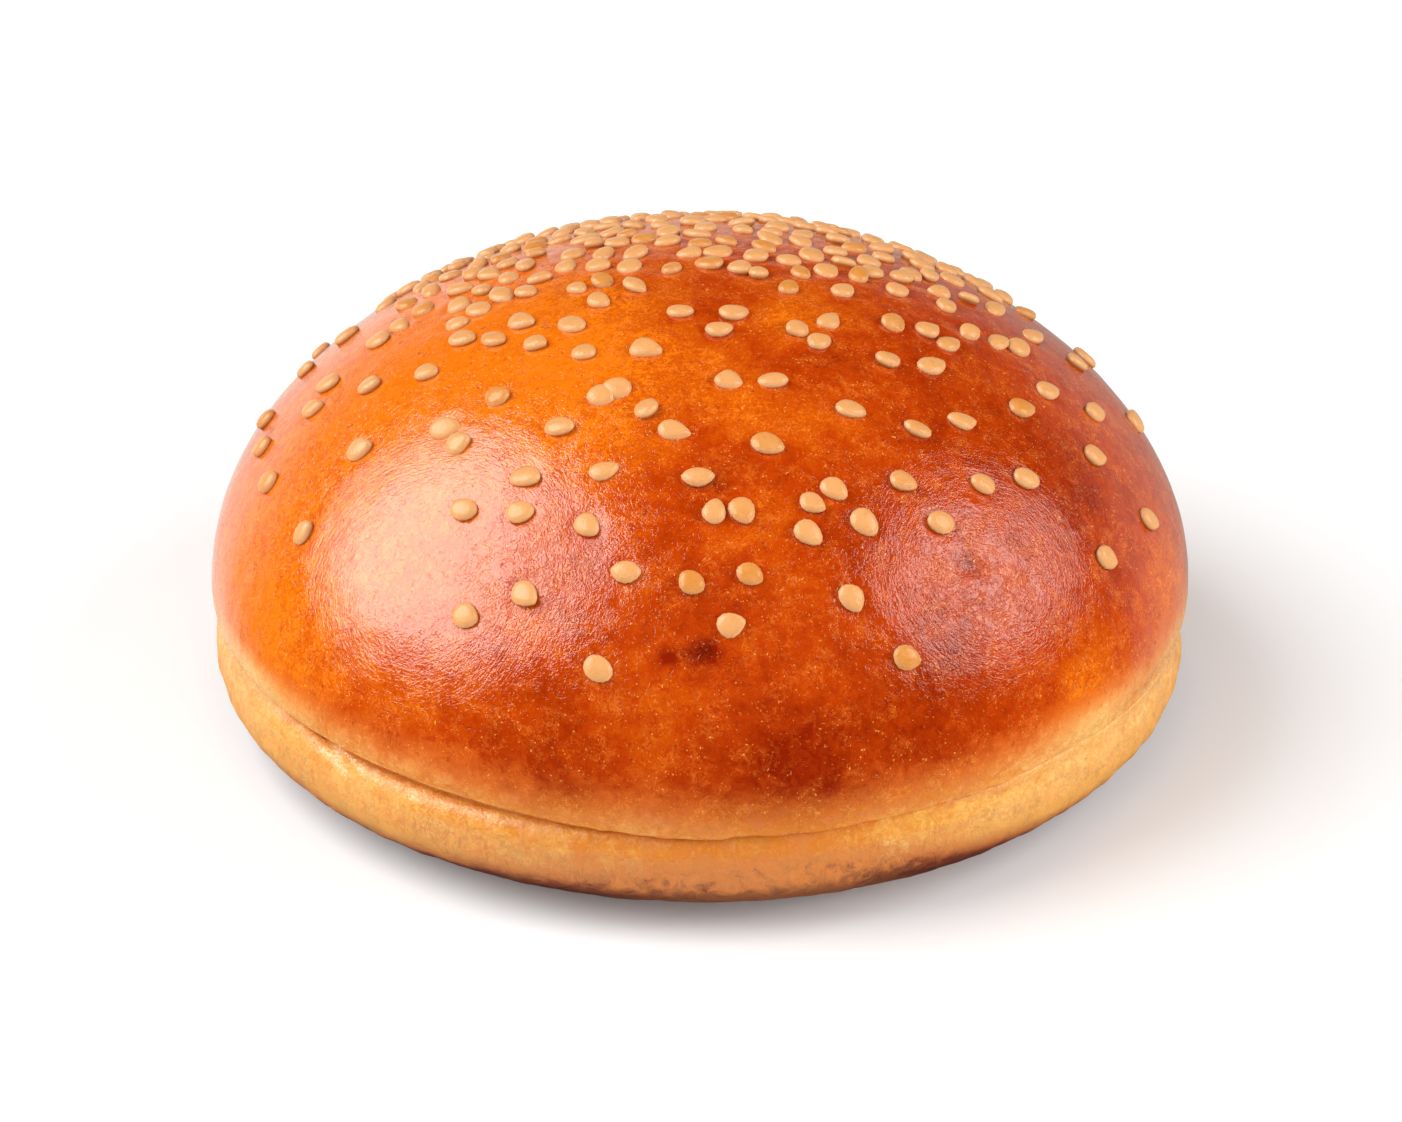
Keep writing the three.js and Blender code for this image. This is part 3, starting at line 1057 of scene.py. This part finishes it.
class ROLL_OT_stage(bpy.types.Operator):
    """Set up the pale floor, the four soft lights, the pale surroundings and the camera"""

    bl_idname = "roll.stage"
    bl_label = "Stage"

    def execute(self, context):
        studio = context.scene.studio
        self.add_floor()
        for name, setting, *angles, mirrored in SOFT_LIGHTS:
            lamp = self.add_softbox(name, *angles, getattr(studio, setting))
            lamp.visible_glossy = mirrored
        self.add_surroundings(context)
        self.add_camera(context, studio)
        context.scene.view_settings.view_transform = "Standard"
        return {"FINISHED"}

    def add_floor(self):
        mesh = bmesh.new()
        bmesh.ops.create_circle(mesh, cap_ends=True, segments=96, radius=FLOOR_RADIUS)
        floor = new_object("pale_floor", mesh, smooth=False)
        floor.data.materials.append(floor_finish())
        floor.visible_glossy = False

    def add_softbox(self, name, bearing, height_angle, half_angle, power, distance=1.0):
        """A round softbox that looks at the roll and fills the given half angle of its view."""
        light = bpy.data.lights.new(name, "AREA")
        light.shape = "DISK"
        light.size = 2 * distance * math.tan(math.radians(half_angle))
        light.energy = power
        light.color = WARM_LIGHT
        lamp = bpy.data.objects.new(name, light)
        around, above = math.radians(bearing), math.radians(height_angle)
        level = math.cos(above)
        way = Vector((math.sin(around) * level, -math.cos(around) * level, math.sin(above)))
        lamp.location = Vector((0, 0, LIT_HEIGHT)) + way * distance
        lamp.rotation_euler = way.to_track_quat("Z", "Y").to_euler()
        lamp.visible_camera = False
        bpy.context.collection.objects.link(lamp)
        return lamp

    def add_surroundings(self, context):
        """White where the camera looks, and dim with a warm glow low behind for all other rays."""
        world = bpy.data.worlds.new("pale_surroundings")
        world.use_nodes = True
        context.scene.world = world
        board = Board(world.node_tree)
        way = board.node("ShaderNodeTexCoord", {}, {}, "Generated")
        x, y, z = (board.node("ShaderNodeSeparateXYZ", {}, {"Vector": way}, axis) for axis in "XYZ")
        seen = board.node("ShaderNodeLightPath", {}, {}, "Is Camera Ray")
        right = x.ramped(-0.2, 0.2)
        glow = (1 - right) * y.ramped(0.45, 0.8) * (1 - z.ramped(-0.05, 0.4))
        glow = glow + 0.42 * right * y.ramped(0.3, 0.5) * (1 - z.ramped(0.0, 0.45))
        strength = (1 - seen) * (0.010 + glow * z.ramped(-0.8, -0.4)) + seen
        background = world.node_tree.nodes["Background"]
        board.feed(background.inputs["Strength"], strength)
        board.feed(background.inputs["Color"], board.mix(seen, WARM_GLOW, WHITE))

    def add_camera(self, context, studio):
        camera = bpy.data.cameras.new("camera")
        camera.lens = studio.lens
        camera.sensor_width = SENSOR_WIDTH
        eye = bpy.data.objects.new("camera", camera)
        back = Vector((0, -math.cos(studio.elevation), math.sin(studio.elevation)))
        eye.location = Vector((0, 0, PIVOT_HEIGHT)) + back * studio.distance
        look = Vector((0, 0, studio.aim_height)) - eye.location
        eye.rotation_euler = look.to_track_quat("-Z", "Y").to_euler()
        context.collection.objects.link(eye)
        context.scene.camera = eye


class ROLL_PT_panel(bpy.types.Panel):
    """Lists the pieces of the bread roll and its settings"""

    bl_label = "Bread roll"
    bl_idname = "ROLL_PT_panel"
    bl_space_type = "VIEW_3D"
    bl_region_type = "UI"
    bl_category = "Bread roll"

    def draw(self, context):
        for operator in OPERATORS:
            self.layout.operator(operator.bl_idname)
        for group in SETTINGS:
            settings = getattr(context.scene, group)
            box = self.layout.box()
            for name in settings.__annotations__:
                box.prop(settings, name)


OPERATORS = (ROLL_OT_baked_roll, ROLL_OT_flank_seeds, ROLL_OT_crown_seeds, ROLL_OT_stage)
SETTINGS = {
    "roll_sizes": RollSizes,
    "seed_sizes": SeedSizes,
    "roll_colours": RollColours,
    "studio": StudioSettings,
}
CLASSES = (*SETTINGS.values(), *OPERATORS, ROLL_PT_panel)


def register():
    for kind in CLASSES:
        bpy.utils.register_class(kind)
    for name, kind in SETTINGS.items():
        setattr(bpy.types.Scene, name, PointerProperty(type=kind))


def unregister():
    for name in SETTINGS:
        delattr(bpy.types.Scene, name)
    for kind in reversed(CLASSES):
        bpy.utils.unregister_class(kind)


def main():
    register()
    bpy.ops.roll.baked_roll()
    bpy.ops.roll.flank_seeds()
    bpy.ops.roll.crown_seeds()
    bpy.ops.roll.stage()


if __name__ == "__main__":
    main()
